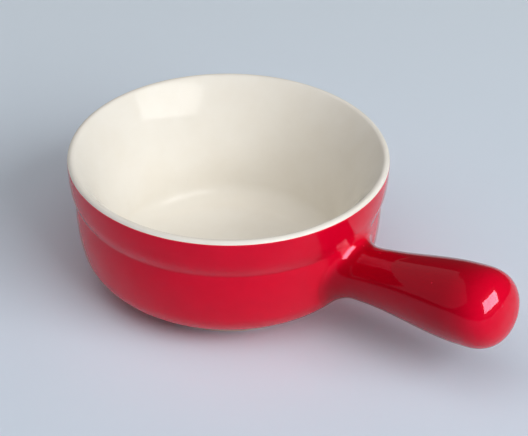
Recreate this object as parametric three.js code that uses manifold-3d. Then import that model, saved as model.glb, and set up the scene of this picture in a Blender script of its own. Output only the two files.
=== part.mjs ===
// Handled ramekin: a stoneware bowl with a hollow cast handle joined to its wall by slip,
// lined with cream glaze and coated outside with red glaze. Millimetres and degrees, +Z up.
import * as THREE from 'three';
import { mergeVertices } from 'three/addons/utils/BufferGeometryUtils.js';
import Module from 'manifold-3d';

// Bowl, over its glaze
const height = 44.3;
const rimRadius = 50;
const lipThickness = 2.6;
const bandCurve = 63.6; // radius of the upright band under the lip
const bandLean = 8; // lean of the band where it starts to roll under
const rollCurve = 14;
const rollLean = 30; // lean of the roll where it meets the step
const stepFillet = 1.5;
const waistLean = 5; // outward lean of the wall just under the step
const wallLean = 14; // inward lean of the wall where the base corner starts
const cornerHeight = 13.7;
const cornerCurve = 13;
const coneLean = 54; // lean of the straight underside down to the foot
const innerFlare = 40; // lean of the inside where it leaves the lip
const flareCurve = 40;
const innerLean = 20; // lean of the inside where the flare ends
const innerFootLean = 6; // and where the corner starts
const innerCorner = 6.5;
const floorHeight = 5;

// Foot ring, bare of glaze
const footHeight = 0.9;
const footWidth = 3.2;
const footChamfer = 0.4;
const recessDepth = 1.2;

// Glaze coats
const glaze = 0.4;
const colourBreak = 7; // how far up the lip's round the red reaches
const baseGlazeMargin = 1; // bare clay round the glaze in the foot's recess

// Handle, over its glaze
const handleLength = 56.7; // along the axis, from the wall to the tip
const handleHeight = 20.8; // of the axis where it leaves the wall
const handleSlope = 8;
const neckWidth = 18;
const gripWidth = 25.5;
const gripReach = 43; // from the wall to the full width
const flatness = 0.96; // height over width
const capLength = 11.5;
const capFullness = 2.5; // power of the rounded end's outline, 2 for an ellipse
const rootFillet = 7;
const rootLean = 60; // angle from the axis at which the fillet meets the wall
const wallFollow = 14; // from the wall to where the sections stand square to the axis
const handleWall = 5; // clay round the hollow
const slipThickness = 0.5;
const ventDiameter = 3;
const ventReach = 14; // from the wall to the vent hole

// Fineness of the round surfaces
const chordError = 0.07;
const bowlSegments = 48;
const handleSegments = 24;
const ventSegments = 12;
const stemSteps = 6;
const capSteps = 6;

const wasm = await Module();
wasm.setup();

const rad = THREE.MathUtils.degToRad;
const { lerp, smoothstep } = THREE.MathUtils;

// Closed three.js geometry as a solid that can be joined and cut
function solidOf(geometry) {
  geometry.deleteAttribute('normal');
  geometry.deleteAttribute('uv');
  const merged = mergeVertices(geometry);
  const index = merged.index.array;
  const triangles = [];
  for (let i = 0; i < index.length; i += 3) {
    const [a, b, c] = index.slice(i, i + 3);
    if (a !== b && b !== c && c !== a) triangles.push(a, b, c);
  }
  return new wasm.Manifold(new wasm.Mesh({
    numProp: 3,
    vertProperties: merged.attributes.position.array,
    triVerts: new Uint32Array(triangles),
  }));
}

// Finished solid as a named mesh
function meshOf(name, solid, color, roughness) {
  const { vertProperties, triVerts } = solid.getMesh();
  const geometry = new THREE.BufferGeometry();
  geometry.setAttribute('position', new THREE.BufferAttribute(vertProperties, 3));
  geometry.setIndex(new THREE.BufferAttribute(triVerts, 1));
  geometry.computeVertexNormals();
  const mesh = new THREE.Mesh(geometry, new THREE.MeshStandardMaterial({ color, roughness, metalness: 0 }));
  mesh.name = name;
  return mesh;
}

// Point at an angle on a circle of a section, where x runs out from the axis and y along it
function onCircle(centre, radius, angle) {
  return new THREE.Vector2(centre.x + radius * Math.cos(angle), centre.y + radius * Math.sin(angle));
}

// Even steps from one angle to another that keep an arc's chords within the chord error
function arcAngles(radius, from, to) {
  const steps = Math.max(2, Math.ceil(Math.abs(to - from) / (2 * Math.acos(1 - chordError / radius))));
  return Array.from({ length: steps + 1 }, (_, i) => lerp(from, to, i / steps));
}

// Stations along an arc of the bowl's section, each with the angle that its surface faces
function roundArc(centre, radius, from, to) {
  return arcAngles(radius, from, to).map((facing) => ({ at: onCircle(centre, radius, facing), facing }));
}

// The same for a hollow arc, whose centre lies outside the clay
function hollowArc(centre, radius, from, to) {
  return arcAngles(radius, from, to).map((facing) => ({ at: onCircle(centre, -radius, facing), facing }));
}

// Runs of stations joined end to start, with each shared station kept once
function chain(first, ...rest) {
  return first.concat(...rest.map((stations) => stations.slice(1)));
}

// Points at a depth below the surface that the stations lie on
function below(stations, depth) {
  return stations.map(({ at, facing }) => onCircle(at, -depth, facing));
}

const lipRadius = lipThickness / 2;
const lipCentre = new THREE.Vector2(rimRadius - lipRadius, height - lipRadius);

// Outside of the bowl, from the foot up to the line where the red glaze ends on the lip
function outsideStations() {
  const bandCentre = new THREE.Vector2(rimRadius - bandCurve, lipCentre.y);
  const rollCentre = onCircle(bandCentre, bandCurve - rollCurve, -rad(bandLean));
  const stepCentre = onCircle(rollCentre, rollCurve + stepFillet, -rad(rollLean));
  const waist = onCircle(stepCentre, -stepFillet, rad(waistLean));
  const wallCurve = (waist.y - cornerHeight) / (Math.sin(rad(waistLean)) + Math.sin(rad(wallLean)));
  const wallCentre = onCircle(waist, -wallCurve, rad(waistLean));
  const cornerCentre = onCircle(wallCentre, wallCurve - cornerCurve, -rad(wallLean));
  const corner = roundArc(cornerCentre, cornerCurve, -rad(coneLean), -rad(wallLean));
  const coneTop = corner[0].at;
  const coneFootRadius = coneTop.x - (coneTop.y - footHeight) * Math.tan(rad(coneLean));
  const coneFoot = new THREE.Vector2(coneFootRadius, footHeight);
  return chain(
    [{ at: coneFoot, facing: -rad(coneLean) }, ...corner],
    roundArc(wallCentre, wallCurve, -rad(wallLean), rad(waistLean)),
    hollowArc(stepCentre, stepFillet, rad(waistLean), -rad(rollLean)),
    roundArc(rollCentre, rollCurve, -rad(rollLean), -rad(bandLean)),
    roundArc(bandCentre, bandCurve, -rad(bandLean), 0),
    roundArc(lipCentre, lipRadius, 0, rad(colourBreak)),
  );
}

// Inside of the bowl, from the same line over the lip and down to the middle of the floor
function insideStations() {
  const flareTop = rad(180 - innerFlare);
  const wallTop = rad(180 - innerLean);
  const wallFoot = rad(180 - innerFootLean);
  const lip = roundArc(lipCentre, lipRadius, rad(colourBreak), flareTop);
  const flare = roundArc(onCircle(lip.at(-1).at, -flareCurve, flareTop), flareCurve, flareTop, wallTop);
  const flareFoot = flare.at(-1).at;
  const wallFootHeight = floorHeight + innerCorner * (1 - Math.sin(wallFoot));
  const wallCurve = (flareFoot.y - wallFootHeight) / (Math.sin(wallTop) - Math.sin(wallFoot));
  const wall = roundArc(onCircle(flareFoot, -wallCurve, wallTop), wallCurve, wallTop, wallFoot);
  const cornerCentre = onCircle(wall.at(-1).at, innerCorner, wallFoot);
  const corner = hollowArc(cornerCentre, innerCorner, wallFoot, Math.PI / 2);
  const middle = { at: new THREE.Vector2(0, floorHeight), facing: Math.PI / 2 };
  return [...chain(lip, flare, wall, corner), middle];
}

const outside = outsideStations();
const inside = insideStations();

// Section turned about the bowl's axis
function revolve(points) {
  return solidOf(new THREE.LatheGeometry(points, bowlSegments).rotateX(Math.PI / 2));
}

// Coat of glaze on a run of stations
function coat(stations) {
  const loop = [...below(stations, 0), ...below(stations, glaze).reverse()];
  return revolve([...loop, loop[0]]);
}

// Everything inside a surface at a depth below the bowl's outside
function filledBowl(depth) {
  const points = below(outside, depth);
  return revolve([new THREE.Vector2(0, points[0].y), ...points, new THREE.Vector2(0, points.at(-1).y)]);
}

const footRadius = below(outside, glaze)[0].x;
const recessRadius = footRadius - footWidth;

// Clay of the bowl with its foot ring
function bowlBody() {
  const foot = [
    [0, recessDepth],
    [recessRadius, recessDepth],
    [recessRadius, footChamfer],
    [recessRadius + footChamfer, 0],
    [footRadius - footChamfer, 0],
    [footRadius, footChamfer],
  ].map(([x, y]) => new THREE.Vector2(x, y));
  return revolve([...foot, ...below(chain(outside, inside), glaze)]);
}

// Disc of glaze under the floor, inside the foot ring
function baseGlaze() {
  const radius = recessRadius - baseGlazeMargin;
  const underside = recessDepth - glaze;
  const points = [[0, underside], [radius, underside], [radius, recessDepth], [0, recessDepth]];
  return revolve(points.map(([x, y]) => new THREE.Vector2(x, y)));
}

// Radius of the bowl's outside at a height
function wallRadius(z) {
  const above = Math.max(1, outside.findIndex(({ at }) => at.y > z));
  const low = outside[above - 1].at;
  const high = outside[above].at;
  return lerp(low.x, high.x, (z - low.y) / (high.y - low.y));
}

const slope = rad(handleSlope);
const handleRoot = wallRadius(handleHeight);

// Half widths of the handle along its axis at a depth below its glaze, from inside the wall to the tip
function handleOutline(depth) {
  const neckReach = rootFillet * Math.sin(rad(rootLean));
  const filletCentre = new THREE.Vector2(neckWidth / 2 + rootFillet, neckReach);
  const fillet = arcAngles(rootFillet, rad(rootLean), 0).map((angle) => (
    onCircle(filletCentre, -(rootFillet + depth), angle)
  ));
  const capStart = handleLength - capLength;
  const stem = Array.from({ length: stemSteps }, (_, i) => {
    const along = lerp(neckReach, capStart, (i + 1) / stemSteps);
    const width = lerp(neckWidth, gripWidth, smoothstep(along, neckReach, gripReach));
    return new THREE.Vector2(width / 2 - depth, along);
  });
  const cap = Array.from({ length: capSteps }, (_, i) => {
    const turn = (Math.PI / 2) * ((i + 1) / capSteps);
    const share = 2 / capFullness;
    const narrowing = i + 1 < capSteps ? Math.cos(turn) ** share : 0;
    return new THREE.Vector2(
      stem.at(-1).x * narrowing,
      capStart + (capLength - depth) * Math.sin(turn) ** share,
    );
  });
  const start = fillet[0].y - rootFillet;
  const root = [new THREE.Vector2(0, start), new THREE.Vector2(fillet[0].x, start)];
  return [...root, ...fillet, ...stem, ...cap];
}

// Handle at a depth below its glaze: sections that follow the bowl's wall at the root and then turn
// square to the axis
function handleSolid(depth) {
  const geometry = new THREE.LatheGeometry(handleOutline(depth), handleSegments);
  geometry.rotateZ(-Math.PI / 2).scale(1, 1, flatness);
  const position = geometry.attributes.position;
  for (let i = 0; i < position.count; i += 1) {
    const along = position.getX(i);
    const across = position.getY(i);
    const up = position.getZ(i);
    const free = smoothstep(along, 0, wallFollow);
    const z = handleHeight + along * Math.sin(slope) + up * Math.cos(slope * free);
    const onWall = Math.sqrt(wallRadius(z) ** 2 - across ** 2);
    const square = handleRoot - up * Math.sin(slope * free);
    position.setXYZ(i, lerp(onWall, square, free) + along * Math.cos(slope), across, z);
  }
  return solidOf(geometry);
}

// Hole that lets the air out of the hollow handle, down from its axis through the underside
function ventHole() {
  const radius = ventDiameter / 2;
  const geometry = new THREE.CylinderGeometry(radius, radius, gripWidth, ventSegments).rotateX(Math.PI / 2);
  const axisHeight = handleHeight + ventReach * Math.sin(slope);
  geometry.translate(handleRoot + ventReach * Math.cos(slope), 0, axisHeight - gripWidth / 2);
  return solidOf(geometry);
}

const bowlClay = filledBowl(glaze);
const bowlSlip = filledBowl(glaze - slipThickness);
const handleFinish = handleSolid(0);
const handleClay = handleSolid(glaze);
const handleHollow = handleSolid(glaze + handleWall);
const vent = ventHole();

// Clay of the handle, its root cut to the wall's curve
function handleBody() {
  return handleClay.subtract(bowlSlip).subtract(handleHollow).subtract(vent);
}

// Saddle of slip between the handle's root and the wall
function slipJoint() {
  return handleClay.intersect(bowlSlip).subtract(bowlClay).subtract(handleHollow);
}

// Red glaze, one coat over the bowl's outside and the handle
function exteriorGlaze() {
  return coat(outside).add(handleFinish.subtract(bowlClay)).subtract(handleClay).subtract(vent);
}

const stoneware = 0xd8c9b4;
const slip = 0xcbbba5;
const cream = 0xece4d8;
const red = 0xc0102c;
const bareRoughness = 0.85;
const glazeRoughness = 0.12;

const ramekin = new THREE.Group();
ramekin.add(
  meshOf('bowl_body', bowlBody(), stoneware, bareRoughness),
  meshOf('handle_body', handleBody(), stoneware, bareRoughness),
  meshOf('slip_joint', slipJoint(), slip, bareRoughness),
  meshOf('interior_glaze', coat(inside), cream, glazeRoughness),
  meshOf('exterior_glaze', exteriorGlaze(), red, glazeRoughness),
  meshOf('base_glaze', baseGlaze(), cream, glazeRoughness),
);

// The origin lies under the middle of the whole ramekin, bowl and handle together
const reach = handleFinish.boundingBox().max[0];
ramekin.position.x = (rimRadius - reach) / 2;

export default ramekin;
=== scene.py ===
# Handled ramekin: a stoneware bowl and club handle under cream and red glaze,
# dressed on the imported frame
import math

import bmesh
import bpy
import numpy as np
from mathutils import Matrix, Vector


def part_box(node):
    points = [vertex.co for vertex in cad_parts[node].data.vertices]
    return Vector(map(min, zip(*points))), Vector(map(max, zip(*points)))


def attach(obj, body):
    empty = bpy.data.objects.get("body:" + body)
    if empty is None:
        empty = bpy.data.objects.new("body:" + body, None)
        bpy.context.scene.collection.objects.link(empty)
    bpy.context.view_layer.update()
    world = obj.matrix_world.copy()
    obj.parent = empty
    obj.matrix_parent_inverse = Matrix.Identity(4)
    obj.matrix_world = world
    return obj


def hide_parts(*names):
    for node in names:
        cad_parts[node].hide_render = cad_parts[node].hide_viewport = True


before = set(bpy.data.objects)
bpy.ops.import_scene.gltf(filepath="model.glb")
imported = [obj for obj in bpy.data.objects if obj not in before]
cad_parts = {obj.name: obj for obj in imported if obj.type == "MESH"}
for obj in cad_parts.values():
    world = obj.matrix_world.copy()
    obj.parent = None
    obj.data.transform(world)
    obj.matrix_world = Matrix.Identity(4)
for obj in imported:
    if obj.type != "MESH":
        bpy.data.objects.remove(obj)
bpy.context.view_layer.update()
mm = 0.001
mergeWithin = 0.001 * mm
print("frame loaded, nodes:", ", ".join(sorted(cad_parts)))

# The overall sizes come from the frame, in millimetres from the middle of the bowl
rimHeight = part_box("interior_glaze")[1].z / mm
coatLow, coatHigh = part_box("exterior_glaze")
rimRadius = (coatHigh.y - coatLow.y) / 2 / mm
bowlAxis = Vector((coatLow.x + rimRadius * mm, 0, 0))


# Section of the bowl, over its glaze: x runs out from the axis and y up
bowlShape = {
    "lipThickness": 2.6,
    "lipSteps": 16,
    "bandCurve": 51.4,     # radius of the upright band under the lip
    "bandLean": 8,
    "rollCurve": 14,       # round that the band ends in
    "rollLean": 27,
    "stepHollow": 2.5,     # hollow between the roll and the wall
    "waistLean": 3,
    "wallLean": 13,
    "cornerHeight": 13.95,
    "cornerCurve": 13,
    "coneLean": 54,        # straight underside down to the foot
    "innerFlare": 40,      # lean of the inside where it leaves the lip
    "flareCurve": 40,
    "innerLean": 20,       # lean of the inside where the flare ends
    "innerFootLean": 6,    # and where the corner starts
    "innerCorner": 6.5,
    "floorHeight": 5,
    "footHeight": 0.9,
    "footWidth": 3.2,
    "footRound": 0.4,
    "recessDepth": 1.2,
    "coat": 0.4,           # thickness of the glaze
    "colourBreak": 18,     # how far up the lip's round the red reaches, in degrees
    "coatClear": 1.4,      # from the red's lower edge to its first full row, in coats
    "baseMargin": 1.0,     # bare clay round the glaze in the recess
    "baseRows": 24,
    "roundPoints": 6,      # on a small quarter round
    "pitch": 0.7,          # distance between rows
    "turnSteps": 256,
}


def sine(degrees):
    return math.sin(math.radians(degrees))


def onCircle(centre, radius, degrees):
    turn = math.radians(degrees)
    return np.array([centre[0] + radius * math.cos(turn), centre[1] + radius * math.sin(turn)])


# Stations (x, y, facing) on an arc; a hollow arc has its centre outside the clay
def arc(centre, radius, start, end, hollow=False, fewest=5):
    length = abs(math.radians(end - start)) * radius
    steps = max(fewest, math.ceil(length / bowlShape["pitch"]))
    reach = -radius if hollow else radius
    facings = np.linspace(start, end, steps + 1)
    return [(*onCircle(centre, reach, facing), facing) for facing in facings]


def straight(first, last, facing):
    way = np.subtract(last, first)
    steps = max(1, math.ceil(np.linalg.norm(way) / bowlShape["pitch"]))
    return [(*(np.array(first) + way * share), facing) for share in np.linspace(0, 1, steps + 1)]


# Runs of stations end to start, with each shared one kept once
def chain(*runs):
    joined = list(runs[0])
    for run in runs[1:]:
        joined += run[1:]
    return np.array(joined)


def below(stations, depth):
    turn = np.radians(stations[:, 2])
    return stations[:, :2] - depth * np.column_stack([np.cos(turn), np.sin(turn)])


lipRound = bowlShape["lipThickness"] / 2
lipCentre = np.array([rimRadius - lipRound, rimHeight - lipRound])


# Outside of the bowl, from the foot up to the line where the red ends on the lip
def outsideStations(shape):
    band, roll, hollow = shape["bandCurve"], shape["rollCurve"], shape["stepHollow"]
    bandLean, rollLean, waistLean = shape["bandLean"], shape["rollLean"], shape["waistLean"]
    wallLean, coneLean, corner = shape["wallLean"], shape["coneLean"], shape["cornerCurve"]
    bandCentre = (rimRadius - band, lipCentre[1])
    rollCentre = onCircle(bandCentre, band - roll, -bandLean)
    stepCentre = onCircle(rollCentre, roll + hollow, -rollLean)
    waist = onCircle(stepCentre, -hollow, waistLean)
    wallCurve = (waist[1] - shape["cornerHeight"]) / (sine(waistLean) + sine(wallLean))
    wallCentre = onCircle(waist, -wallCurve, waistLean)
    cornerCentre = onCircle(wallCentre, wallCurve - corner, -wallLean)
    coneTop = onCircle(cornerCentre, corner, -coneLean)
    drop = coneTop[1] - shape["footHeight"]
    coneFoot = (coneTop[0] - drop * math.tan(math.radians(coneLean)), shape["footHeight"])
    return chain(
        straight(coneFoot, coneTop, -coneLean),
        arc(cornerCentre, corner, -coneLean, -wallLean),
        arc(wallCentre, wallCurve, -wallLean, waistLean),
        arc(stepCentre, hollow, waistLean, -rollLean, hollow=True),
        arc(rollCentre, roll, -rollLean, -bandLean),
        arc(bandCentre, band, -bandLean, 0),
        arc(lipCentre, lipRound, 0, shape["colourBreak"]),
    )


# Inside of the bowl, from the middle of the floor up and over the lip to the same line
def insideStations(shape):
    flareTop = 180 - shape["innerFlare"]
    wallTop = 180 - shape["innerLean"]
    wallFoot = 180 - shape["innerFootLean"]
    lip = arc(lipCentre, lipRound, flareTop, shape["colourBreak"], fewest=shape["lipSteps"])
    flareCentre = onCircle(lip[0], -shape["flareCurve"], flareTop)
    flare = arc(flareCentre, shape["flareCurve"], wallTop, flareTop)
    corner = shape["innerCorner"]
    footHeight = shape["floorHeight"] + corner * (1 - sine(wallFoot))
    wallCurve = (flare[0][1] - footHeight) / (sine(wallTop) - sine(wallFoot))
    wallCentre = onCircle(flare[0], -wallCurve, wallTop)
    wall = arc(wallCentre, wallCurve, wallFoot, wallTop)
    cornerCentre = onCircle(wall[0], corner, wallFoot)
    return chain(
        straight((0, shape["floorHeight"]), (cornerCentre[0], shape["floorHeight"]), 90),
        arc(cornerCentre, corner, 90, wallFoot, hollow=True),
        wall,
        flare,
        lip,
    )


outside = outsideStations(bowlShape)
inside = insideStations(bowlShape)
print("sections drawn:", len(outside), "stations outside,", len(inside), "inside")


# Nodes: a value that is a socket is linked, any other is set
def addNode(tree, kind, values=None, **settings):
    node = tree.nodes.new(kind)
    for name, value in settings.items():
        setattr(node, name, value)
    for name, value in (values or {}).items():
        if isinstance(value, bpy.types.NodeSocket):
            tree.links.new(value, node.inputs[name])
        else:
            node.inputs[name].default_value = value
    return node


def maths(tree, operation, first, second=0.0):
    return addNode(tree, "ShaderNodeMath", {0: first, 1: second}, operation=operation).outputs[0]


def ramp(tree, value, low, high, toLow=0.0, toHigh=1.0):
    values = {"Value": value, "From Min": low, "From Max": high, "To Min": toLow, "To Max": toHigh}
    node = addNode(tree, "ShaderNodeMapRange", values, interpolation_type="SMOOTHSTEP")
    return node.outputs["Result"]


# The mix node's colour sockets share their names with others, so they go by number
def mixColour(tree, factor, first, second):
    values = {0: factor, 6: first, 7: second}
    return addNode(tree, "ShaderNodeMix", values, data_type="RGBA").outputs[2]


def objectPlace(tree):
    return addNode(tree, "ShaderNodeTexCoord").outputs["Object"]


def attribute(tree, name):
    return addNode(tree, "ShaderNodeAttribute", attribute_name=name).outputs["Fac"]


def newGroup(name, inputs, outputs):
    group = bpy.data.node_groups.new(name, "ShaderNodeTree")
    for label, value in inputs.items():
        socket = group.interface.new_socket(label, in_out="INPUT", socket_type="NodeSocketFloat")
        socket.default_value = value
    for label in outputs:
        group.interface.new_socket(label, in_out="OUTPUT", socket_type="NodeSocketFloat")
    given = group.nodes.new("NodeGroupInput").outputs
    return group, given, group.nodes.new("NodeGroupOutput").inputs


# Flow of a fired glaze: slow changes of depth, a faint ripple in the surface, and pinholes
def glazeFlowGroup():
    group, given, wanted = newGroup(
        "glazeFlow",
        {
            "Mottle Scale": 90.0,
            "Ripple Scale": 70.0,
            "Pinhole Scale": 150.0,
            "Pinhole Size": 0.05,
        },
        ("Mottle", "Pinhole", "Ripple"),
    )
    place = objectPlace(group)
    mottle = addNode(group, "ShaderNodeTexNoise", {
        "Vector": place, "Scale": given["Mottle Scale"], "Detail": 5.0, "Roughness": 0.6})
    ripple = addNode(group, "ShaderNodeTexNoise", {
        "Vector": place, "Scale": given["Ripple Scale"], "Detail": 2.0, "Roughness": 0.45})
    pinhole = addNode(group, "ShaderNodeTexVoronoi", {
        "Vector": place, "Scale": given["Pinhole Scale"]})
    near = maths(group, "DIVIDE", pinhole.outputs["Distance"], given["Pinhole Size"])
    dot = ramp(group, near, low=0.4, high=1.0, toLow=1.0, toHigh=0.0)
    group.links.new(mottle.outputs["Fac"], wanted["Mottle"])
    group.links.new(dot, wanted["Pinhole"])
    group.links.new(maths(group, "SUBTRACT", ripple.outputs["Fac"], dot), wanted["Ripple"])
    return group


# Grain of bare fired clay: fine tooth with darker flecks of grog
def clayGrainGroup():
    group, given, wanted = newGroup(
        "clayGrain",
        {"Grain Scale": 1800.0, "Fleck Scale": 900.0},
        ("Tone", "Fleck", "Tooth"),
    )
    place = objectPlace(group)
    grain = addNode(group, "ShaderNodeTexNoise", {
        "Vector": place, "Scale": given["Grain Scale"], "Detail": 6.0, "Roughness": 0.7})
    tone = addNode(group, "ShaderNodeTexNoise", {"Vector": place, "Scale": 60.0, "Detail": 3.0})
    speck = addNode(group, "ShaderNodeTexVoronoi", {
        "Vector": place, "Scale": given["Fleck Scale"]})
    fleck = ramp(group, speck.outputs["Distance"], low=0.12, high=0.3, toLow=1.0, toHigh=0.0)
    group.links.new(tone.outputs["Fac"], wanted["Tone"])
    group.links.new(fleck, wanted["Fleck"])
    group.links.new(grain.outputs["Fac"], wanted["Tooth"])
    return group


glazeFlow = glazeFlowGroup()
clayGrain = clayGrainGroup()


def newMaterial(name, sockets):
    material = bpy.data.materials.new(name)
    material.use_nodes = True
    shader = material.node_tree.nodes["Principled BSDF"]
    for label, value in sockets.items():
        shader.inputs[label].default_value = value
    return material, material.node_tree, shader


def setBump(tree, shader, height, distance):
    bump = addNode(tree, "ShaderNodeBump", {
        "Height": height, "Distance": distance, "Strength": 1.0})
    tree.links.new(bump.outputs["Normal"], shader.inputs["Normal"])


# Colour, sheen and ripple of either glaze; the sheen follows the mottle
def finishGlaze(tree, shader, flow, colour, finish):
    sheen = ramp(tree, flow["Mottle"], *finish["sheen"], *finish["roughness"])
    tree.links.new(colour, shader.inputs["Base Color"])
    tree.links.new(sheen, shader.inputs["Roughness"])
    setBump(tree, shader, flow["Ripple"], finish["ripple"])


redFinish = {
    "thick": (0.375, 0.0006, 0.0093, 1),   # where the glaze has gathered, and where shade is painted on the handle
    "usual": (0.72, 0.0009, 0.0223, 1),
    "thin": (0.80, 0.0120, 0.0450, 1),     # over edges and pinholes
    "gloss": (1.0, 0.32, 0.44, 1),         # colour deep in the glaze, over what it mirrors
    "refraction": 1.5,
    "specular": 0.42,
    "roughness": (0.03, 0.07),
    "ripple": 0.00006,
    "mottle": (0.35, 0.75),                # depths of flow between usual and thick
    "mottling": 0.12,
    "sheen": (0.3, 0.8),                   # depths of flow between smooth and rough
    "hollows": (0.02, 0.45),               # bends where it gathers
    "gathering": 0.4,
    "ridges": (-0.05, -0.45),              # and where it thins
    "thinning": 0.5,
}


def redGlaze(finish):
    material, tree, shader = newMaterial("redGlaze", {
        "IOR": finish["refraction"],
        "Specular IOR Level": finish["specular"],
        "Specular Tint": finish["gloss"],
    })
    flow = addNode(tree, "ShaderNodeGroup", node_tree=glazeFlow).outputs
    bend = attribute(tree, "bend")
    mottle = ramp(tree, flow["Mottle"], *finish["mottle"], 0.0, finish["mottling"])
    hollow = ramp(tree, bend, *finish["hollows"], 0.0, finish["gathering"])
    ridge = ramp(tree, bend, *finish["ridges"], 0.0, finish["thinning"])
    # Darker where the glaze gathers in hollows, and in the painted shade on the handle
    darkening = maths(tree, "MAXIMUM", hollow, attribute(tree, "paintedShade"))
    worn = maths(tree, "MAXIMUM", ridge, flow["Pinhole"])
    usual = mixColour(tree, mottle, finish["usual"], finish["thick"])
    pooled = mixColour(tree, darkening, usual, finish["thick"])
    colour = mixColour(tree, worn, pooled, finish["thin"])
    finishGlaze(tree, shader, flow, colour, finish)
    return material


creamFinish = {
    "thick": (0.845, 0.800, 0.718, 1),
    "usual": (0.87, 0.833, 0.762, 1),
    "thin": (0.81, 0.757, 0.673, 1),
    "refraction": 1.5,
    "specular": 0.045,
    "roughness": (0.07, 0.11),
    "ripple": 0.00005,
    "mottleScale": 60.0,
    "mottle": (0.3, 0.75),
    "sheen": (0.3, 0.8),
    "hollows": (0.01, 0.12),
    "gathering": 0.6,
    "ridges": (-0.1, -0.6),
    "thinning": 0.25,
}


def creamGlaze(finish):
    material, tree, shader = newMaterial("creamGlaze", {
        "IOR": finish["refraction"], "Specular IOR Level": finish["specular"]})
    scale = {"Mottle Scale": finish["mottleScale"]}
    flow = addNode(tree, "ShaderNodeGroup", scale, node_tree=glazeFlow).outputs
    bend = attribute(tree, "bend")
    mottle = ramp(tree, flow["Mottle"], *finish["mottle"])
    hollow = ramp(tree, bend, *finish["hollows"], 0.0, finish["gathering"])
    ridge = ramp(tree, bend, *finish["ridges"], 0.0, finish["thinning"])
    usual = mixColour(tree, mottle, finish["usual"], finish["thick"])
    pooled = mixColour(tree, hollow, usual, finish["thick"])
    colour = mixColour(tree, ridge, pooled, finish["thin"])
    finishGlaze(tree, shader, flow, colour, finish)
    return material


clayFinish = {
    "stoneware": {
        "light": (0.70, 0.61, 0.48, 1),
        "dark": (0.60, 0.50, 0.38, 1),
        "fleck": (0.33, 0.25, 0.18, 1),
    },
    "slip": {
        "light": (0.62, 0.52, 0.40, 1),
        "dark": (0.53, 0.43, 0.32, 1),
        "fleck": (0.40, 0.31, 0.22, 1),
    },
    "roughness": 0.85,
    "tooth": 0.00008,
    "tone": (0.3, 0.7),
    "flecking": 0.5,
}


def bareClay(name, colours, finish):
    material, tree, shader = newMaterial(name, {"Roughness": finish["roughness"]})
    grain = addNode(tree, "ShaderNodeGroup", node_tree=clayGrain).outputs
    tone = ramp(tree, grain["Tone"], *finish["tone"])
    fleck = maths(tree, "MULTIPLY", grain["Fleck"], finish["flecking"])
    body = mixColour(tree, tone, colours["light"], colours["dark"])
    flecked = mixColour(tree, fleck, body, colours["fleck"])
    tree.links.new(flecked, shader.inputs["Base Color"])
    setBump(tree, shader, grain["Tooth"], finish["tooth"])
    return material


redMaterial = redGlaze(redFinish)
creamMaterial = creamGlaze(creamFinish)
stonewareMaterial = bareClay("bareStoneware", clayFinish["stoneware"], clayFinish)
slipMaterial = bareClay("firedSlip", clayFinish["slip"], clayFinish)
print("materials mixed")


# Puts a new mesh in the scene as a finished piece that stands for one CAD node
def dress(name, mesh, node, sharpAngle=50):
    mesh.name = name
    mesh.set_sharp_from_angle(angle=math.radians(sharpAngle))
    markBends(mesh)
    piece = bpy.data.objects.new(name, mesh)
    bpy.context.scene.collection.objects.link(piece)
    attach(piece, "root")
    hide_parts(node)
    print(name, "made,", len(mesh.polygons), "faces")


# How sharply the surface bends at each vertex, per millimetre: hollows above zero, ridges below
def markBends(mesh, rounds=2, shortest=1e-9):
    count = len(mesh.vertices)
    places = np.empty(count * 3)
    mesh.vertices.foreach_get("co", places)
    places = places.reshape(-1, 3) / mm
    normals = np.empty(count * 3, np.float32)
    mesh.vertex_normals.foreach_get("vector", normals)
    normals = normals.reshape(-1, 3)
    ends = np.empty(len(mesh.edges) * 2, np.int32)
    mesh.edges.foreach_get("vertices", ends)
    starts = np.concatenate([ends[0::2], ends[1::2]])
    stops = np.concatenate([ends[1::2], ends[0::2]])
    steps = places[stops] - places[starts]
    lengths = np.maximum(np.sum(steps * steps, 1), shortest)
    bends = 2 * np.sum(steps * normals[starts], 1) / lengths
    links = np.maximum(np.bincount(starts, minlength=count), 1)
    bend = np.bincount(starts, bends, count) / links
    for _ in range(rounds):
        bend = (bend + np.bincount(starts, bend[stops], count) / links) / 2
    values = mesh.attributes.new("bend", "FLOAT", "POINT").data
    values.foreach_set("value", bend.astype(np.float32))


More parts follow.
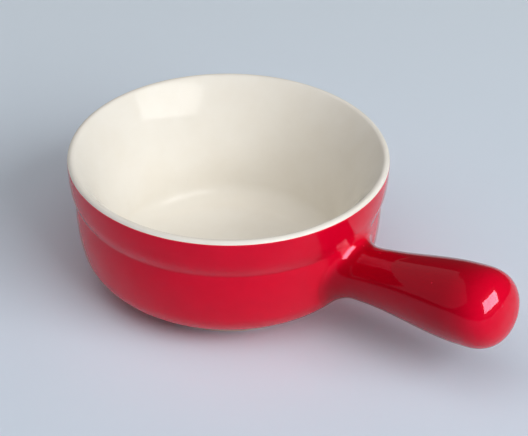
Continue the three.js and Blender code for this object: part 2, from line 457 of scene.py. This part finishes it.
# Geometry Nodes tree that turns a section about the bowl's axis
def turningTree():
    tree = bpy.data.node_groups.new("turnedSection", "GeometryNodeTree")
    tree.is_modifier = True
    for label, way, kind in (
        ("Section", "INPUT", "NodeSocketGeometry"),
        ("Turned", "OUTPUT", "NodeSocketGeometry"),
        ("Steps", "INPUT", "NodeSocketInt"),
        ("Axis", "INPUT", "NodeSocketVector"),
        ("Finish", "INPUT", "NodeSocketMaterial"),
    ):
        tree.interface.new_socket(label, in_out=way, socket_type=kind)
    given = tree.nodes.new("NodeGroupInput").outputs
    size = addNode(tree, "GeometryNodeAttributeDomainSize", {"Geometry": given["Section"]})
    rows = size.outputs["Point Count"]
    columns = maths(tree, "ADD", given["Steps"], 1.0)
    grid = addNode(tree, "GeometryNodeMeshGrid", {"Vertices X": rows, "Vertices Y": columns})
    index = addNode(tree, "GeometryNodeInputIndex").outputs["Index"]
    row = maths(tree, "FLOOR", maths(tree, "DIVIDE", index, columns))
    column = maths(tree, "MODULO", index, columns)
    turn = maths(tree, "MULTIPLY", maths(tree, "DIVIDE", column, given["Steps"]), math.tau)
    place = addNode(tree, "GeometryNodeInputPosition").outputs["Position"]
    station = addNode(tree, "GeometryNodeSampleIndex", {
        "Geometry": given["Section"], "Value": place, "Index": row,
    }, data_type="FLOAT_VECTOR", domain="POINT")
    turned = addNode(tree, "ShaderNodeVectorRotate", {
        "Vector": station.outputs["Value"], "Angle": turn}, rotation_type="Z_AXIS")
    moved = addNode(tree, "ShaderNodeVectorMath", {
        0: turned.outputs["Vector"], 1: given["Axis"]}, operation="ADD")
    shaped = addNode(tree, "GeometryNodeSetPosition", {
        "Geometry": grid.outputs["Mesh"], "Position": moved.outputs["Vector"]})
    closed = addNode(tree, "GeometryNodeMergeByDistance", {
        "Geometry": shaped.outputs["Geometry"], "Distance": mergeWithin})
    smooth = addNode(tree, "GeometryNodeSetShadeSmooth", {"Geometry": closed.outputs["Geometry"]})
    whole = addNode(tree, "GeometryNodeRealizeInstances", {"Geometry": smooth.outputs["Geometry"]})
    painted = addNode(tree, "GeometryNodeSetMaterial", {
        "Geometry": whole.outputs["Geometry"], "Material": given["Finish"]})
    addNode(tree, "NodeGroupOutput", {"Turned": painted.outputs["Geometry"]})
    return tree


turnedSection = turningTree()


# Mesh of a section (x, y in millimetres, axis to axis) turned by the tree
def turnedMesh(points, material):
    section = bpy.data.meshes.new("section")
    places = [(x * mm, 0, y * mm) for x, y in points]
    section.from_pydata(places, [(i, i + 1) for i in range(len(places) - 1)], [])
    blank = bpy.data.objects.new("blank", section)
    bpy.context.scene.collection.objects.link(blank)
    modifier = blank.modifiers.new("turn", "NODES")
    modifier.node_group = turnedSection
    values = {"Steps": bowlShape["turnSteps"], "Axis": bowlAxis, "Finish": material}
    for item in turnedSection.interface.items_tree:
        if item.in_out == "INPUT" and item.name in values:
            modifier[item.identifier] = values[item.name]
    graph = bpy.context.evaluated_depsgraph_get()
    mesh = bpy.data.meshes.new_from_object(blank.evaluated_get(graph))
    blank.modifiers.remove(modifier)
    bpy.data.objects.remove(blank)
    bpy.data.meshes.remove(section)
    return mesh


coat = bowlShape["coat"]
footEdge = below(outside, coat)[0]     # lowest clay that the red covers
recessRadius = footEdge[0] - bowlShape["footWidth"]


# Quarter round between two straight runs of a section
def roundedCorner(centre, radius, start, end):
    turns = np.linspace(start, end, bowlShape["roundPoints"])
    return [onCircle(centre, radius, turn) for turn in turns]


def stonewareBowl():
    radius = bowlShape["footRound"]
    outer = (footEdge[0] - radius, radius)
    inner = (recessRadius + radius, radius)
    foot = [
        *roundedCorner(outer, radius, 0, -90),
        *roundedCorner(inner, radius, -90, -180),
        (recessRadius, bowlShape["recessDepth"]),
        (0, bowlShape["recessDepth"]),
    ]
    points = [*below(inside, coat), *below(outside, coat)[::-1][1:], *foot]
    dress("stonewareBowl", turnedMesh(points, stonewareMaterial), "bowl_body")


def creamLining():
    points = [*inside[:, :2], *below(inside, coat)[::-1]]
    dress("creamLining", turnedMesh(points, creamMaterial), "interior_glaze")


def creamBase():
    radius = recessRadius - bowlShape["baseMargin"]
    ceiling = bowlShape["recessDepth"]
    edge = roundedCorner((radius - coat, ceiling), coat, 0, -90)
    across = [(x, ceiling) for x in np.linspace(0, radius, bowlShape["baseRows"])]
    points = [*across[:-1], *edge, (0, ceiling - coat)]
    dress("creamBase", turnedMesh(points, creamMaterial), "base_glaze")


stonewareBowl()
creamLining()
creamBase()


# Handle, over its glaze: widths, and distances along its axis from its edge on the wall
handleShape = {
    "height": 20.8,        # of the axis where it leaves the wall
    "slope": 8,
    "neckWidth": 18,
    "gripWidth": 25.5,
    "gripReach": 43,
    "flatness": 0.96,
    "length": 56.49,
    "capLength": 11.5,
    "capFullness": 2.5,    # 2 would be an ellipse
    "filletReach": 6.06,   # along the handle
    "filletFlare": 4.6,    # along the wall
    "wallFollow": 14,      # how far out the sections still follow the wall
    # Painted shade on the handle: where it starts, later on the top side, and where it fades
    "shadeStart": (-1.6, 1.2),
    "shadeLag": 2.5,        # how much further out it starts on the top side
    "shadeEnd": (38, 55),
    "filletSteps": 12,
    "stemSteps": 56,
    "capSteps": 18,
}
# Opening in the turned wall that the handle grows from
rootOpening = {
    "columns": 17,         # of the wall, to each side
    "low": 5.2,            # heights of its lowest and highest row
    "high": 35.0,
    "keepRows": 11.7,      # how far up and down the handle's edge keeps to the wall's rows
    "cornerShare": 0.93,   # of the edge's half height, where its sides end
    "rings": 7,
    "eased": (23, 37),     # heights between which the step is filled in
    "easePower": 3,        # how late the step fills in, on the way to the handle
    "shadePower": 8,        # and how late the painted shade sets in
}
# Vent under the handle, with the faces left out for it to each side of its middle
ventOpening = {
    "reach": 14,
    "radius": 1.6,
    "rows": 3,
    "columns": 10,
    "rings": 4,
    "dip": 0.2,            # of its edge into the coat
    "tries": 12,
}


def smoothStep(value, low, high):
    share = np.clip((value - low) / (high - low), 0, 1)
    return share * share * (3 - 2 * share)


# Rows of the red coat: outside of the bowl with its lower edge rolled in to the clay
def coatRows():
    edge = outside[0]
    lean = math.radians(edge[2])
    normal = np.array([math.cos(lean), math.sin(lean)])
    climb = np.array([-normal[1], normal[0]])
    foot = edge[:2] - coat * normal
    centre = foot + coat * climb
    turns = np.linspace(0, math.pi / 2, bowlShape["roundPoints"])
    rolled = [centre + coat * (math.sin(turn) * normal - math.cos(turn) * climb) for turn in turns]
    clay = [foot + (point - edge[:2]) @ climb * climb for point in rolled]
    kept = np.linalg.norm(outside[:, :2] - edge[:2], axis=1) > coat * bowlShape["coatClear"]
    outer = np.array([*rolled, *outside[kept][:, :2]])
    inner = np.array([*clay, *below(outside[kept], coat)])
    return outer, inner


coatOuter, coatInner = coatRows()
coatRun = np.concatenate([[0], np.cumsum(np.linalg.norm(np.diff(coatOuter, axis=0), axis=1))])


# Points of the coat's outside or inside at angles about the bowl and distances up its section
def wallPoints(turn, run, rows):
    radius = np.interp(run, coatRun, rows[:, 0])
    height = np.interp(run, coatRun, rows[:, 1])
    return np.column_stack([radius * np.cos(turn), radius * np.sin(turn), height])


def radiusAt(height, rows):
    return np.interp(height, rows[:, 1], rows[:, 0])


def runAt(height):
    return np.interp(height, coatOuter[:, 1], coatRun)


# The same rows with the step filled in, as it is where the handle's flare runs over it
def easedRows(rows, near=0.2):
    heights = np.array(rootOpening["eased"])
    low, high = heights
    bottom, top = radiusAt(heights, rows)
    gain = radiusAt(heights + near, rows) - radiusAt(heights - near, rows)
    leanLow, leanHigh = gain / (2 * near) * (high - low)
    share = np.clip((rows[:, 1] - low) / (high - low), 0, 1)
    filled = bottom + (top - bottom) * smoothStep(share, 0, 1)
    filled += leanLow * share * (1 - share) ** 2 - leanHigh * share ** 2 * (1 - share)
    between = (share > 0) & (share < 1)
    return np.column_stack([np.where(between, filled, rows[:, 0]), rows[:, 1]])


easedOuter, easedInner = easedRows(coatOuter), easedRows(coatInner)
slope = math.radians(handleShape["slope"])
rootRadius = float(radiusAt(handleShape["height"], coatOuter))


# Half width and distance along the handle, at a place that runs
# from 0 to 1 on the fillet, to 2 on the stem and to 3 on the cap
def handleOutline(place):
    shape = handleShape
    reach = shape["filletReach"]
    capStart = shape["length"] - shape["capLength"]
    turn = np.clip(place, 0, 1) * math.pi / 2
    fillet = shape["filletFlare"] * (1 - np.sin(turn))
    onFillet = reach * (1 - np.cos(turn))
    along = onFillet + np.clip(place - 1, 0, 1) * (capStart - reach)
    neck, grip = shape["neckWidth"] / 2, shape["gripWidth"] / 2
    stem = neck + (grip - neck) * smoothStep(along, reach, shape["gripReach"])
    end = np.clip(place - 2, 0, 1) * math.pi / 2
    share = 2 / shape["capFullness"]
    half = (stem + fillet) * np.clip(np.cos(end), 0, 1) ** share
    return half, along + shape["capLength"] * np.sin(end) ** share


# Points on the handle at places along it and angles round it
def handlePoints(place, angle):
    half, along = handleOutline(place)
    across = half * np.cos(angle)
    up = half * np.sin(angle) * handleShape["flatness"]
    free = smoothStep(along, 0, handleShape["wallFollow"])
    height = handleShape["height"] + along * math.sin(slope) + up * np.cos(slope * free)
    onWall = np.sqrt(radiusAt(height, easedOuter) ** 2 - across ** 2)
    square = rootRadius - up * np.sin(slope * free)
    out = onWall + (square - onWall) * free + along * math.cos(slope)
    return np.column_stack([out, across, height])


# Painted shade on the handle: darker red round the root and neck, most of all at the sides and
# below, fading out towards the grip
def handlePaintedShade(place, angle):
    along = handleOutline(place)[1]
    start = along - handleShape["shadeLag"] * np.clip(np.sin(angle), 0, 1)
    darkening = smoothStep(start, *handleShape["shadeStart"])
    return darkening * (1 - smoothStep(along, *handleShape["shadeEnd"]))


# The same points one coat lower
def handleClay(place, angle, small=1e-3):
    along = handlePoints(np.minimum(place + small, 3), angle) - handlePoints(place - small, angle)
    around = handlePoints(place, angle + small) - handlePoints(place, angle - small)
    normal = np.cross(around, along)
    normal /= np.linalg.norm(normal, axis=1)[:, None]
    return handlePoints(place, angle) - coat * normal


# Vertices of the coat as pairs, outside and inside, with the faces of the outside
coatMesh = {"outer": [], "inner": [], "paintedShade": [], "faces": []}


# The painted shade says how much the red is darkened, 0 to 1
def addPairs(outer, inner, paintedShade=0.0):
    start = len(coatMesh["outer"])
    coatMesh["outer"].extend(outer)
    coatMesh["inner"].extend(inner)
    coatMesh["paintedShade"].extend(np.broadcast_to(paintedShade, len(outer)))
    return np.arange(start, start + len(outer))


# Faces between two closed rings of vertices, seen from outside with the ring's angles rising
def bridge(ringA, ringB, skip=()):
    for i, quad in enumerate(zip(ringA, ringB, np.roll(ringB, -1), np.roll(ringA, -1))):
        if i not in skip:
            coatMesh["faces"].append(quad)


# Anticlockwise walk round a rectangle of columns and rows
def rectangle(left, right, low, high):
    return [
        *((right, row) for row in range(low, high + 1)),
        *((column, high) for column in range(right - 1, left - 1, -1)),
        *((left, row) for row in range(high - 1, low - 1, -1)),
        *((column, low) for column in range(left + 1, right)),
    ]


# Rows of the wall from the foot up, with faces everywhere but in the opening
def coatWall(low, high):
    steps, columns = bowlShape["turnSteps"], rootOpening["columns"]
    turns = np.arange(steps) * math.tau / steps
    wall = []
    for run in coatRun:
        runs = np.full(steps, run)
        outer, inner = (wallPoints(turns, runs, rows) for rows in (coatOuter, coatInner))
        wall.append(addPairs(outer, inner))
    for row in range(len(wall) - 1):
        lower, upper = wall[row], wall[row + 1]
        for column in range(steps):
            aside = (column + columns) % steps >= 2 * columns
            if aside or not low <= row < high:
                after = (column + 1) % steps
                quad = (lower[column], lower[after], upper[after], upper[column])
                coatMesh["faces"].append(quad)
    return wall


# Angles of the handle's edge for a walk round the opening: at its sides the edge keeps
# to the wall's rows near the axis and closes up to its corners beyond
def edgeAngles(walk, low, high, halfHeight):
    columns, axis = rootOpening["columns"], handleShape["height"]
    keep, corner = rootOpening["keepRows"], rootOpening["cornerShare"] * halfHeight
    quarter = math.pi / 2
    halfTop = quarter - math.asin(rootOpening["cornerShare"])
    angles = []
    for column, row in walk:
        if abs(column) == columns:
            rise = coatOuter[row, 1] - axis
            furthest = abs(coatOuter[high if rise > 0 else low, 1] - axis)
            level = np.interp(abs(rise), [0, keep, furthest], [0, keep, corner]) * np.sign(rise)
            angle = math.asin(level / halfHeight)
            angles.append(angle if column > 0 else math.pi - angle)
        else:
            share = column / columns * halfTop
            angles.append(quarter - share if row == high else share - quarter)
    return np.array(angles)


# Rings on the wall from the opening in to the handle's edge, where the step has run out
def rootRings(wall, walk, angles, halfWidth, halfHeight):
    steps = bowlShape["turnSteps"]
    heights = handleShape["height"] + halfHeight * np.sin(angles)
    edgeTurns = np.arcsin(halfWidth * np.cos(angles) / radiusAt(heights, easedOuter))
    edgeRuns = runAt(heights)
    edgeShade = handlePaintedShade(np.zeros(len(angles)), angles)
    walkTurns = np.array([column * math.tau / steps for column, row in walk])
    walkRuns = np.array([coatRun[row] for column, row in walk])
    rings = [np.array([wall[row][column % steps] for column, row in walk])]
    for ring in range(1, rootOpening["rings"] + 1):
        share = ring / rootOpening["rings"]
        turn = walkTurns + (edgeTurns - walkTurns) * share
        run = walkRuns + (edgeRuns - walkRuns) * share
        eased = share ** rootOpening["easePower"]
        outer = wallPoints(turn, run, coatOuter + (easedOuter - coatOuter) * eased)
        inner = wallPoints(turn, run, coatInner + (easedInner - coatInner) * eased)
        rings.append(addPairs(outer, inner, share ** rootOpening["shadePower"] * edgeShade))
    return rings


# Rings from a block's edge, at places and angles on the handle, in to a hole whose edge dips
def addVent(edge, places, angles):
    stemLength = handleShape["length"] - handleShape["capLength"]
    centre = np.array([rootRadius + ventOpening["reach"] * math.cos(slope), 0])
    offsets = handlePoints(places, angles)[:, :2] - centre
    distances = np.linalg.norm(offsets, axis=1)[:, None]
    goals = centre + ventOpening["radius"] * offsets / distances
    holePlaces, holeAngles = places.copy(), angles.copy()
    for _ in range(ventOpening["tries"]):
        half = handleOutline(holePlaces)[0]
        holeAngles = np.arcsin(goals[:, 1] / half) - math.pi / 2
        miss = goals[:, 0] - handlePoints(holePlaces, holeAngles)[:, 0]
        holePlaces = holePlaces + miss / stemLength
    ring = edge
    for step in range(1, ventOpening["rings"] + 1):
        share = step / ventOpening["rings"]
        place = places + (holePlaces - places) * share
        angle = angles + (holeAngles - angles) * share
        outer, clay = handlePoints(place, angle), handleClay(place, angle)
        dip = ventOpening["dip"] / coat if share == 1 else 0
        after = addPairs(outer + (clay - outer) * dip, clay, handlePaintedShade(place, angle))
        bridge(after, ring)
        ring = after


def redCoat():
    shape = handleShape
    columns = rootOpening["columns"]
    low = int(np.argmin(abs(coatOuter[:, 1] - rootOpening["low"])))
    high = int(np.argmin(abs(coatOuter[:, 1] - rootOpening["high"])))
    halfWidth = shape["neckWidth"] / 2 + shape["filletFlare"]
    halfHeight = halfWidth * shape["flatness"]
    wall = coatWall(low, high)
    walk = rectangle(-columns, columns, low, high)
    angles = edgeAngles(walk, low, high, halfHeight)
    rings = rootRings(wall, walk, angles, halfWidth, halfHeight)

    # Rings along the handle, to a point at its tip
    places = np.concatenate([
        np.linspace(0, 1, shape["filletSteps"] + 1)[1:],
        1 + np.linspace(0, 1, shape["stemSteps"] + 1)[1:],
        2 + np.linspace(0, 1, shape["capSteps"] + 1)[1:-1],
    ])
    firstRing = len(rings)
    for place in places:
        spots = np.full(len(angles), place)
        outer, inner = handlePoints(spots, angles), handleClay(spots, angles)
        rings.append(addPairs(outer, inner, handlePaintedShade(spots, angles)))

    # A block of faces under the handle is left out for the vent
    along = handleOutline(places)[1]
    middleRing = firstRing + int(np.argmin(abs(along - ventOpening["reach"])))
    middleSide = int(np.argmin(abs(angles + math.pi / 2)))
    rows, sides = ventOpening["rows"], ventOpening["columns"]
    ventRings = range(middleRing - rows, middleRing + rows)
    ventSides = range(middleSide - sides, middleSide + sides)
    for i in range(len(rings) - 1):
        bridge(rings[i + 1], rings[i], ventSides if i in ventRings else ())
    block = [
        *((i, ventRings[0]) for i in ventSides),
        *((ventSides[-1] + 1, k) for k in ventRings),
        *((i + 1, ventRings[-1] + 1) for i in reversed(ventSides)),
        *((ventSides[0], k + 1) for k in reversed(ventRings)),
    ]
    addVent(
        np.array([rings[k][i] for i, k in block]),
        np.array([places[k - firstRing] for i, k in block]),
        np.array([angles[i] for i, k in block]),
    )
    tip = handlePoints(np.array([3.0]), np.array([0.0]))
    outward = np.array([[math.cos(slope), 0, math.sin(slope)]])
    tipIndex = addPairs(tip, tip - coat * outward)[0]
    for a, b in zip(rings[-1], np.roll(rings[-1], -1)):
        coatMesh["faces"].append((a, b, tipIndex))
    dress("redCoat", closedShell(), "exterior_glaze")


# Mesh of the outside, the inside turned to face the clay, and a rim along every open edge
def closedShell():
    count = len(coatMesh["outer"])
    outer = coatMesh["faces"]
    edges = {(face[i - 1], face[i]) for face in outer for i in range(len(face))}
    rims = [(b, a, a + count, b + count) for a, b in edges if (b, a) not in edges]
    inner = [tuple(index + count for index in reversed(face)) for face in outer]
    faces = [tuple(int(i) for i in face) for face in outer + sorted(rims) + inner]
    places = np.array([*coatMesh["outer"], *coatMesh["inner"]]) * mm + np.array(bowlAxis)
    mesh = bpy.data.meshes.new("redCoat")
    mesh.from_pydata(places.tolist(), [], faces)
    # The painted shade goes to the red glaze as an attribute
    paintedShades = np.tile(np.array(coatMesh["paintedShade"], np.float32), 2)
    mesh.attributes.new("paintedShade", "FLOAT", "POINT").data.foreach_set("value", paintedShades)
    shell = bmesh.new()
    shell.from_mesh(mesh)
    bmesh.ops.remove_doubles(shell, verts=shell.verts, dist=mergeWithin)
    loose = [vertex for vertex in shell.verts if not vertex.link_faces]
    bmesh.ops.delete(shell, geom=loose, context="VERTS")
    shell.to_mesh(mesh)
    shell.free()
    mesh.polygons.foreach_set("use_smooth", [True] * len(mesh.polygons))
    mesh.materials.append(redMaterial)
    mesh.validate()
    return mesh


redCoat()
for node, material in (("handle_body", stonewareMaterial), ("slip_joint", slipMaterial)):
    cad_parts[node].data.materials[0] = material


# Camera at the photograph's angle; image size 528 by 436
cameraView = {
    "azimuth": 37.0,
    "elevation": 33.652,
    "distance": 650,
    "aimRight": 11.212,    # from the bowl's axis
    "aimAway": -4.842,
    "aimUp": 23.129,
    "roll": 0.813,
    "lens": 141.34,
    "clip": (0.01, 20),    # in metres
}


def placeCamera(view):
    around, rise = math.radians(view["azimuth"]), math.radians(view["elevation"])
    right = Vector((math.cos(around), math.sin(around), 0))
    away = Vector((-math.sin(around), math.cos(around), 0))
    up = Vector((0, 0, 1))
    offset = right * view["aimRight"] + away * view["aimAway"] + up * view["aimUp"]
    aim = bowlAxis + offset * mm
    back = up * math.sin(rise) - away * math.cos(rise)
    camera = bpy.data.objects.new("camera", bpy.data.cameras.new("camera"))
    camera.data.lens = view["lens"]
    camera.data.clip_start, camera.data.clip_end = view["clip"]
    camera.matrix_world = (
        Matrix.Translation(aim + back * view["distance"] * mm)
        @ Matrix.Rotation(math.radians(view["roll"]), 4, back)
        @ (-back).to_track_quat("-Z", "Y").to_matrix().to_4x4()
    )
    bpy.context.scene.collection.objects.link(camera)
    bpy.context.scene.camera = camera


placeCamera(cameraView)


# Matt floor, with painted light: a little lighter towards the back of the view; sizes in metres
floorFinish = {
    "size": 3.0,
    "light": (0.69, 0.78, 0.89, 1),
    "dark": (0.67, 0.76, 0.87, 1),
    "far": (0.77, 0.85, 0.92, 1),
    "farWay": (-0.6, 0.8, 0),
    "farReach": (-0.1, 0.4),
    "cloudScale": 14.0,
    "roughness": 0.9,
}


def paleFloor(finish):
    half = finish["size"] / 2
    corners = [(-half, -half, 0), (half, -half, 0), (half, half, 0), (-half, half, 0)]
    mesh = bpy.data.meshes.new("floor")
    mesh.from_pydata(corners, [], [(0, 1, 2, 3)])
    material, tree, shader = newMaterial("paleFloor", {
        "Roughness": finish["roughness"], "Specular IOR Level": 0.0})
    place = objectPlace(tree)
    cloud = addNode(tree, "ShaderNodeTexNoise", {
        "Vector": place, "Scale": finish["cloudScale"], "Detail": 3.0})
    away = addNode(tree, "ShaderNodeVectorMath", {
        0: place, 1: finish["farWay"]}, operation="DOT_PRODUCT")
    near = mixColour(tree, cloud.outputs["Fac"], finish["light"], finish["dark"])
    # Painted light: the floor lightens away from the camera
    distance = ramp(tree, away.outputs["Value"], *finish["farReach"])
    paintedLightSpread = mixColour(tree, distance, near, finish["far"])
    tree.links.new(paintedLightSpread, shader.inputs["Base Color"])
    mesh.materials.append(material)
    floor = bpy.data.objects.new("floor", mesh)
    bpy.context.scene.collection.objects.link(floor)


paleFloor(floorFinish)


# Lamps: azimuth and elevation of the light as seen from the bowl, sizes in metres.
# A mirrored one shows in the glazes, and a lighting one lights matt surfaces
lamps = {
    "brightWindow": {
        "azimuth": 86, "elevation": 33, "distance": 1.5, "size": (1.25, 0.80),
        "power": 16.0, "colour": (0.965, 0.985, 1.0), "mirrored": False, "lighting": True,
    },
    "windowGlare": {
        "azimuth": 89, "elevation": 32, "distance": 1.48, "size": (1.28, 0.86),
        "power": 86, "colour": (1.0, 1.0, 1.0), "mirrored": True, "lighting": False,
    },
    "paleCurtain": {
        "azimuth": 88, "elevation": 33, "distance": 1.6, "size": (1.85, 1.70),
        "power": 4, "colour": (1.0, 1.0, 0.99), "mirrored": True, "lighting": True,
    },
    "farWall": {
        "azimuth": -70, "elevation": 34, "distance": 2.0, "size": (3.6, 1.9),
        "power": 9.6, "colour": (0.93, 0.97, 1.0), "mirrored": True, "lighting": False,
    },
    "wallLight": {
        "azimuth": -70, "elevation": 34, "distance": 1.9, "size": (3.4, 1.8),
        "power": 4.9, "colour": (1.0, 0.98, 0.97), "mirrored": False, "lighting": True,
    },
    "ceiling": {
        "azimuth": 15, "elevation": 72, "distance": 2.0, "size": (2.4, 2.0),
        "power": 16.2, "colour": (1.0, 0.975, 0.955), "mirrored": False, "lighting": True,
    },
}
# The camera sees the backdrop behind the floor, and everything else sees the sky's glow
skyLight = {
    "colour": (0.90, 0.95, 1.0, 1),
    "strength": 0.06,
    "backdrop": (0.55, 0.585, 0.655, 1),
}


def hangLamps():
    for name, lamp in lamps.items():
        around, rise = math.radians(lamp["azimuth"]), math.radians(lamp["elevation"])
        level = math.cos(rise)
        toLamp = Vector((math.sin(around) * level, -math.cos(around) * level, math.sin(rise)))
        light = bpy.data.lights.new(name, "AREA")
        light.shape = "RECTANGLE"
        light.size, light.size_y = lamp["size"]
        light.energy = lamp["power"]
        light.color = lamp["colour"]
        holder = bpy.data.objects.new(name, light)
        holder.visible_glossy = lamp["mirrored"]
        holder.visible_diffuse = lamp["lighting"]
        holder.location = bowlAxis + toLamp * lamp["distance"]
        holder.rotation_euler = (-toLamp).to_track_quat("-Z", "Y").to_euler()
        bpy.context.scene.collection.objects.link(holder)


def openSky(sky):
    world = bpy.data.worlds.new("sky")
    world.use_nodes = True
    tree = world.node_tree
    glow = tree.nodes["Background"]
    glow.inputs["Color"].default_value = sky["colour"]
    glow.inputs["Strength"].default_value = sky["strength"]
    backdrop = addNode(tree, "ShaderNodeBackground", {"Color": sky["backdrop"], "Strength": 1.0})
    ray = addNode(tree, "ShaderNodeLightPath").outputs["Is Camera Ray"]
    mixed = addNode(tree, "ShaderNodeMixShader", {
        0: ray, 1: glow.outputs["Background"], 2: backdrop.outputs["Background"]})
    tree.links.new(mixed.outputs["Shader"], tree.nodes["World Output"].inputs["Surface"])
    bpy.context.scene.world = world


hangLamps()
openSky(skyLight)
bpy.context.scene.view_settings.view_transform = "Standard"
print("camera, floor and lamps placed")
